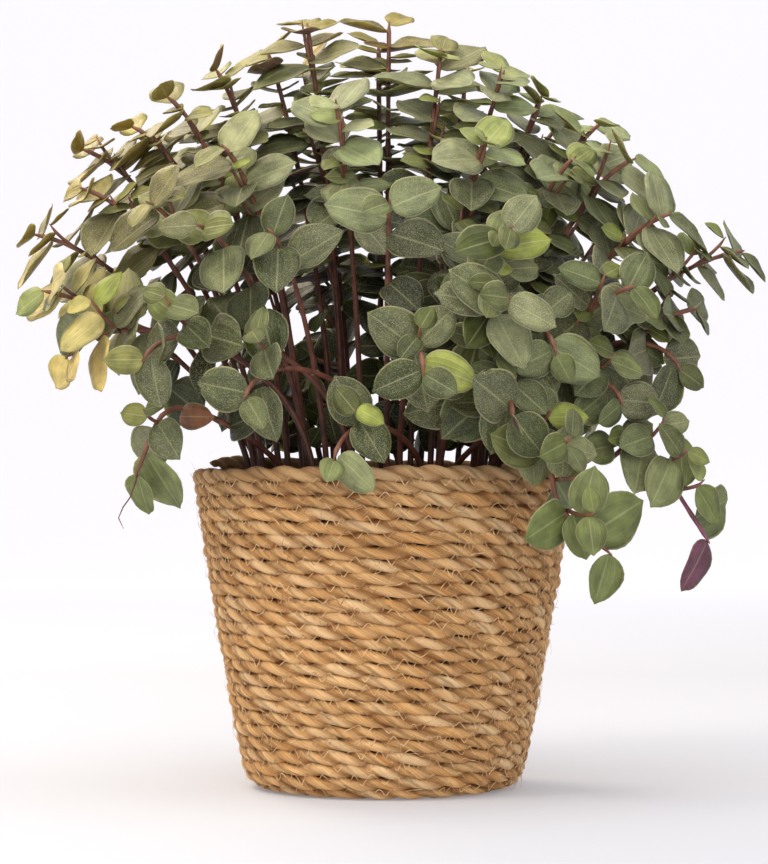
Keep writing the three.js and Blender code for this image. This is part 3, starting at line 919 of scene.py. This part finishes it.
def growTwigs(stems, crown):
    # short side twigs near the outside of the crown, and further down at the back
    (left, right), (low, high) = openFront["across"], openFront["height"]
    for stem in stems:
        curve, owner = stem["curve"], stem["index"]
        stem["twigs"] = []
        isBack = curve.at(0.7)[1] > twigRule["backFrom"]
        places, lowest = ("backPlaces", "backLowest") if isBack else ("places", "lowest")
        for k, down in enumerate(twigRule[places]):
            at = 1 - down / curve.length
            if at < twigRule[lowest]:
                break
            base, axis = curve.onTube(at), curve.tangent(at)
            isOpen = left < base[0] < right and low < base[2] < high
            if base[1] < 0 and isOpen and (k > 0 or curve.at(1.0)[2] > openFront["tallTip"]):
                continue
            outward = unit(base - facing["middle"])
            turn = rotated(np.cross(axis, outward), axis, spread(1.4, owner, k, 31))
            heading = unit(outward * 0.9 + turn * spread(0.9, owner, k, 32) + upAxis * 0.35)
            length = twigRule["length"] * (1 + spread(0.3, owner, k, 33))
            tip = base + heading * length + upAxis * length * 0.22
            twig = bezier(base, base + heading * length * 0.4, tip - upAxis * 3 - heading * 3, tip)
            kept = twigLeaves(twig, owner, k, crown)
            if kept:
                stem["twigs"].append((twig, kept[0]))


# ---- leaf and stem surfaces ----
leafMesh = {"stations": 12, "cup": 0.09, "droop": 0.06, "thickness": 0.5, "tip": 1.05}


def leafTopology():
    # ten closed rings of eight points between the base point and the tip point
    rings, sides = leafMesh["stations"] - 2, 8
    quads, fans = tubeFaces(rings, sides)
    return quads, fans, rings * sides + 2


def leafSurface(leaves, looks):
    # every leaf at once: a rounded oval outline, cupped across, drooping along, thinning to its margin
    angle = np.linspace(0, math.pi, leafMesh["stations"])[1:-1]
    a = (1 - np.cos(angle)) / 2
    # the half width is 2.05 a^0.45 (1 - a)^0.6: broadest near the base, with a short point
    half = 2.05 * a**0.45 * (1 - a) ** 0.6
    b = np.array([-1, -0.5, 0, 0.5, 1, 0.5, 0, -0.5])
    over = np.array([0, 1, 1, 1, 0, -1, -1, -1.0])
    a, half = a[:, None], half[:, None]
    length = np.array([leaf["length"] for leaf in leaves])[:, None, None]
    width = np.array([leaf["width"] for leaf in leaves])[:, None, None] / 2 * looks["broad"][:, None, None]
    seed = looks["seed"][:, None, None]
    x = a + 0 * b
    y = half * b
    cup = leafMesh["cup"] * (0.4 + 1.2 * looks["curl"][:, None, None])
    droop = leafMesh["droop"] * looks["bend"][:, None, None]
    ripple = 0.03 * np.sin(a * 9 + seed * 40) * b * np.abs(b)
    lift = cup * half * b**2 - 0.035 * (1 - np.abs(b)) ** 3 * half + ripple
    height = lift * width * 2 - droop * length * (a**1.8)
    thick = leafMesh["thickness"] * (1 - b**2) * half * over
    base, along, side, normal = (
        np.array([leaf[key] for leaf in leaves])[:, None, None] for key in ("base", "along", "side", "normal")
    )
    points = (
        base
        + along * (x * length)[..., None]
        + side * (y * width)[..., None]
        + normal * (height + thick)[..., None]
    ).reshape(len(leaves), -1, 3)
    base, along, normal = base[:, 0, 0], along[:, 0, 0], normal[:, 0, 0]
    tips = base + along * length[:, 0] * leafMesh["tip"] - normal * (droop * length)[:, 0]
    points = np.concatenate([points, (base - along * 0.3)[:, None], tips[:, None]], 1)
    place = np.stack(np.broadcast_arrays(x, b + 0 * a, (1 - over) / 2 + 0 * a), -1).reshape(-1, 3)
    place = np.concatenate([place, [[0, 0, 0.5], [1, 0, 0.5]]])
    return points, np.broadcast_to(place, (len(leaves), *place.shape))


leafColours = {
    "sage": "#7d885c", "sageGrey": "#9c9c78", "deepShade": "#353f24", "young": "#8a9440",
    "shadeGreen": "#66703a", "bright": "#8f974a", "olive": "#87702a", "gold": "#cbb268",
    "underGreen": "#7f7b46", "underPurple": "#63364a", "dry": "#7c4c2a",
}
leafZones = {  # where each change of colour starts, and how far it takes
    "young": (17.5, -8), "sunSide": (-35, -75), "sunHeight": (175, 60), "goldSide": (-85, -40),
    "goldHeight": (230, -60), "top": (272, 22), "inside": (0.92, -0.35), "hanging": (128, -14),
    "shadeTop": (250, -45), "shadeFoot": (118, 14), "shadeLeft": (-118, 45), "shadeRight": (20, 60),
}
crownReach = np.array([140, 120, 130])
# single leaves that stand out from the front: their colour, and their place across and up
accents = [
    ("bright", 16, 161), ("young", 6, 142), ("gold", -118, 166), ("gold", -106, 158), ("dry", -64, 141),
    ("bright", 45, 196), ("young", 50, 207), ("young", 66, 148), ("young", -98, 190), ("young", -50, 238),
    ("gold", -28, 288), ("olive", 2, 290), ("young", 20, 282), ("underPurple", 122, 94),
]


def chooseAccents(leaves):
    # gives each accent colour to the leaf that is nearest to its place as seen from the front
    centre = np.array([leaf["centre"] for leaf in leaves])
    for colour, across, height in accents:
        away = np.hypot(centre[:, 0] - across, centre[:, 2] - height) + (centre[:, 1] + 120) * 0.12
        leaves[int(np.argmin(away))]["accent"] = colour


def paletteOf(colours):
    return {key: np.array(linear(value)[:3]) for key, value in colours.items()}


def zone(name, value):
    return rising(value, *leafZones[name])


def leafLooks(leaves):
    # each leaf's colours above and below, from its age, its height and at random, with painted light and
    # shade: warm light on the upper left and shade inside the crown
    palette = paletteOf(leafColours)
    centre = np.array([leaf["centre"] for leaf in leaves])
    across, height = centre[:, 0], centre[:, 2]
    keys = [(leaf["owner"], int(abs(leaf["centre"][0]) * 7 + abs(leaf["centre"][2]) * 13)) for leaf in leaves]
    pick = np.array([[chance(a, b, k) for k in range(41, 47)] for a, b in keys])
    size = np.array([leaf["length"] for leaf in leaves])
    youth = zone("young", size) * (0.35 + 0.65 * pick[:, 0])
    youth = np.maximum(youth, np.where(pick[:, 1] < 0.06, 0.8, 0))
    # painted warm light on the lit upper left side: olive, and gold on some leaves; olive also towards the
    # top
    sunward = zone("sunSide", across) * zone("sunHeight", height)
    goldward = zone("goldSide", across) * zone("goldHeight", height)
    topward = zone("top", height)
    # painted shade: leaves deep inside the crown are darkened, more or less at random per leaf
    deepShade = zone("inside", np.linalg.norm((centre - facing["middle"]) / crownReach, axis=1))
    top = blend(palette["sage"], palette["sageGrey"], pick[:, 2] * 0.8)
    top = blend(top, palette["deepShade"], np.clip(deepShade + 0.6 * pick[:, 3] - 0.25, 0, 1) * 0.9)
    top = blend(top, palette["young"], youth * 0.7)
    top = blend(top, palette["olive"], np.clip(sunward * (0.45 + 0.6 * pick[:, 4]) + topward * 0.7, 0, 0.9))
    top = blend(top, palette["gold"], goldward * (pick[:, 5] > 0.45) * 0.85)
    # painted light: undersides on the lit side turn olive, and so do those at the top
    under = blend(palette["underGreen"], palette["olive"], np.clip(sunward + topward, 0, 1))
    under = blend(under, palette["underPurple"], (pick[:, 5] > 0.86) * 0.8 * (1 - sunward))
    # painted shade: the leaves low in the middle of the front are darkened as if in the shadow of the others
    shaded = zone("shadeTop", height) * zone("shadeFoot", height)
    shaded = shaded * zone("shadeLeft", across) * (1 - 0.2 * zone("shadeRight", across))
    shaded = (shaded * (0.66 + 0.46 * pick[:, 4]) * 0.82)[:, None]
    top = top * (0.84 + 0.62 * pick[:, 5:]) * (1 - shaded * np.array([0.92, 0.9, 1.0]))
    under = under * (1 - shaded)
    low = zone("hanging", height)
    top = blend(top, palette["shadeGreen"], low * 0.85)
    speck = np.clip(1 - youth * 1.2 - low, 0.08, 1) * (0.3 + 0.45 * pick[:, 2])
    broad = 1.02 + 0.2 * pick[:, 1]
    for i, leaf in enumerate(leaves):
        if "accent" in leaf:
            top[i] = palette[leaf["accent"]]
            under[i] = top[i] * 0.8
            speck[i] = 0.1
            broad[i] = 0.55 if leaf["accent"] == "dry" else 1.0  # the dry leaf has curled up
    return {
        "top": top, "under": under, "speck": speck, "seed": pick[:, 0], "curl": pick[:, 3],
        "bend": 0.2 + 1.6 * pick[:, 4], "broad": broad,
    }


def leafMaterial():
    # living leaf: a waxy skin over soft green tissue, silver speckled, with long fine veins and a pale edge
    material, tree, shader = newMaterial(
        "waxyLeaf", Roughness=0.52, IOR=1.40, Subsurface_Weight=0.22, Subsurface_Radius=(0.9, 1.0, 0.3),
        Subsurface_Scale=0.0012,
    )
    top, under = addAttribute(tree, "leafTop"), addAttribute(tree, "leafUnder")
    parts = addParts(tree, addAttribute(tree, "leafPlace"))
    speckShare = addParts(tree, addAttribute(tree, "leafExtra"))["X"]
    place = addPlace(tree)
    # speckles about 0.4 mm apart
    speckle = addNode(tree, "ShaderNodeTexVoronoi", {"Vector": place, "Scale": 2300.0})
    dot = addRange(tree, speckle.outputs["Distance"], 0.42, 0.16)
    mottle = addNoise(tree, place, 170.0, 3.0)
    across = addMath(tree, "ABSOLUTE", parts["Y"])
    # three long veins on each side of the midrib, from the base to the tip
    wave = addMath(tree, "COSINE", addMath(tree, "MULTIPLY", across, 22.0))
    vein = addRange(tree, wave, 0.35, 1.0)
    side = addMix(tree, addRange(tree, parts["Z"], 0.45, 0.62), top, under)
    mottled = addScale(tree, side, addRange(tree, mottle, 0.3, 0.7, 0.64, 1.22))
    lighter = addScale(tree, mottled, 1.45)
    colour = addMix(tree, addMath(tree, "MULTIPLY", vein, 0.22), mottled, lighter)
    colour = addMix(tree, addMath(tree, "MULTIPLY", dot, speckShare), colour, linear("#c0bd9c"))
    midrib, margin = addRange(tree, across, 0.07, 0.0), addRange(tree, across, 0.9, 0.99)
    colour = addMix(tree, addMath(tree, "MULTIPLY", midrib, 0.3), colour, linear("#c2c58f"))
    colour = addMix(tree, addMath(tree, "MULTIPLY", margin, 0.4), colour, linear("#d6d3a4"))
    tree.links.new(colour, shader.inputs["Base Color"])
    addBump(tree, shader, addMath(tree, "ADD", vein, mottle), 0.35, 0.0004)
    return material


def stemMaterial():
    # living stem: smooth red-brown skin, darker at the base, partly with age and partly painted shade inside
    # the crown, paler towards the young end and pinker on one shoot, with pale rings
    material, tree, shader = newMaterial(
        "redStem", Roughness=0.5, IOR=1.42, Subsurface_Weight=0.12, Subsurface_Radius=(1.0, 0.4, 0.25),
        Subsurface_Scale=0.001,
    )
    mottle = addNoise(tree, addPlace(tree), 240.0, 3.0)
    shade = addRange(tree, mottle, 0.3, 0.7, 0.6, 1.4)
    colour = addScale(tree, addAttribute(tree, "leafTop"), shade)
    tree.links.new(colour, shader.inputs["Base Color"])
    addBump(tree, shader, mottle, 0.3, 0.0003)
    return material


stemColours = {"oldShadedBase": "#43251a", "middle": "#5f3628", "tip": "#76493a", "pink": "#7d4460", "ring": "#84604a"}
stemSides = 8


def stemTube(curve, until, radius, tipRadius, nodes, pink):
    # a tapering tube that swells at each leaf joint and ends just past its last leaf
    count = max(6, int(curve.length / 4))
    until = min(1, until + 1.5 / curve.length)
    share = np.linspace(0, until, count)
    centres = curve.at(share)
    forward = curve.tangent(share)
    plane = np.cross(upAxis, centres[-1] - centres[0] + np.array([1e-3, 0, 0]))
    across = unit(np.cross(forward, unit(plane)))
    taper = radius + (tipRadius - radius) * share**1.5
    away = np.abs(share[:, None] * curve.length - (curve.length - np.array(nodes))[None, :])
    joint = np.exp(-((away.min(1) / 2.2) ** 2))
    point = np.clip((until - share) * curve.length / 4, 0.12, 1) ** 0.5
    radii = (taper * (1 + 0.28 * joint) * point)[:, None] * np.ones((1, stemSides))
    points = tubeGrid(centres, across, np.cross(forward, across), radii)
    palette = paletteOf(stemColours)
    # darker towards the base, partly with age and partly painted shade inside the crown
    colour = blend(palette["oldShadedBase"], palette["middle"], np.clip(share * 2, 0, 1))
    colour = blend(colour, palette["pink" if pink else "tip"], rising(share, 0.45, 0.55))
    colour = blend(colour, palette["ring"], joint * 0.45)
    tint = np.concatenate([np.repeat(colour, stemSides, axis=0), colour[:1], colour[-1:]])
    quads, fans = tubeFaces(count, stemSides)
    return points, quads, fans, tint


# a thin root that hangs in the air from the left trailing shoot
aerialRoot = {"shoot": 2, "through": [(-91, -54, 121), (-94, -55, 112), (-98, -56, 106), (-96, -57, 101)]}


def makeShoot(stem, leaves, materials):
    name = f"shoot_{stem['index'] + 1:02d}"
    points, quadSets, fanSets, tops = [], [], [], []
    offset = 0
    nodes = stem["rule"]["steps"][: stem["count"]]
    tubes = [(stem["curve"], stem.get("until", 1), stemRule["radius"] * 0.9, 0.7, nodes)]
    tubes += [(twig, until, 0.72, 0.45, twigRule["leaves"]) for twig, until in stem["twigs"]]
    if stem["index"] == aerialRoot["shoot"]:
        tubes.append((smoothThrough(aerialRoot["through"]), 1, 0.32, 0.2, [0]))
    for curve, until, radius, tipRadius, joints in tubes:
        tubePoints, quads, fans, tint = stemTube(curve, until, radius, tipRadius, joints, stem["index"] == 1)
        points.append(tubePoints)
        quadSets.append(quads + offset)
        fanSets.append(fans + offset)
        tops.append(tint)
        offset += len(tubePoints)
    faceSets = [(np.concatenate(quadSets), 1), (np.concatenate(fanSets), 1)]
    looks = leafLooks(leaves)
    leafPoints, place = leafSurface(leaves, looks)
    quads, fans, each = leafTopology()
    shift = (offset + np.arange(len(leaves)) * each)[:, None, None]
    faceSets.append(((quads[None] + shift).reshape(-1, 4), 0))
    faceSets.append(((fans[None] + shift).reshape(-1, 3), 0))
    points.append(leafPoints.reshape(-1, 3))
    tops.append(np.repeat(looks["top"], each, axis=0))
    blank = np.zeros((offset, 3))
    attributes = {
        "leafTop": np.concatenate(tops),
        "leafUnder": np.concatenate([blank, np.repeat(looks["under"], each, axis=0)]),
        "leafPlace": np.concatenate([blank, place.reshape(-1, 3)]),
        "leafExtra": np.concatenate([blank, np.repeat(np.stack([looks["speck"]] * 3, 1), each, axis=0)]),
    }
    piece = meshPiece("leafy_" + name, np.concatenate(points) * 0.001, faceSets, materials, attributes)
    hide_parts(name)
    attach(piece, "root")


# ---- put it together ----
makeCamera()
makeStudio()
makeLights()
print("studio ready")

ropeCoil, coilPath, coilLengths = makeBasket()
thread = makeStitches(coilPath, coilLengths)
fibres = makeStrayFibres(coilPath, coilLengths)
for part in (ropeCoil, thread, fibres):
    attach(part, "root")
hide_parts("seagrass_basket")

for nodeName, plastic in (("plastic_liner", linerMaterial()), ("grower_pot", growerPotMaterial())):
    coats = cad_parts[nodeName].data.materials
    coats.clear()
    coats.append(plastic)
peat = makeSoil()
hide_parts("potting_soil")
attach(peat, "root")
print("basket and pot ready")

stems = growStems()
crown = Crown(stems)
for stem in stems:
    leafyStem(stem, crown)
print("leaves as in the CAD:", len(crown.leaves))
growTwigs(stems, crown)
print("leaves with the twigs:", len(crown.leaves))
chooseAccents(crown.leaves)
foliage = [leafMaterial(), stemMaterial()]
for stem in stems:
    makeShoot(stem, [leaf for leaf in crown.leaves if leaf["owner"] == stem["index"]], foliage)
print("shoots ready")
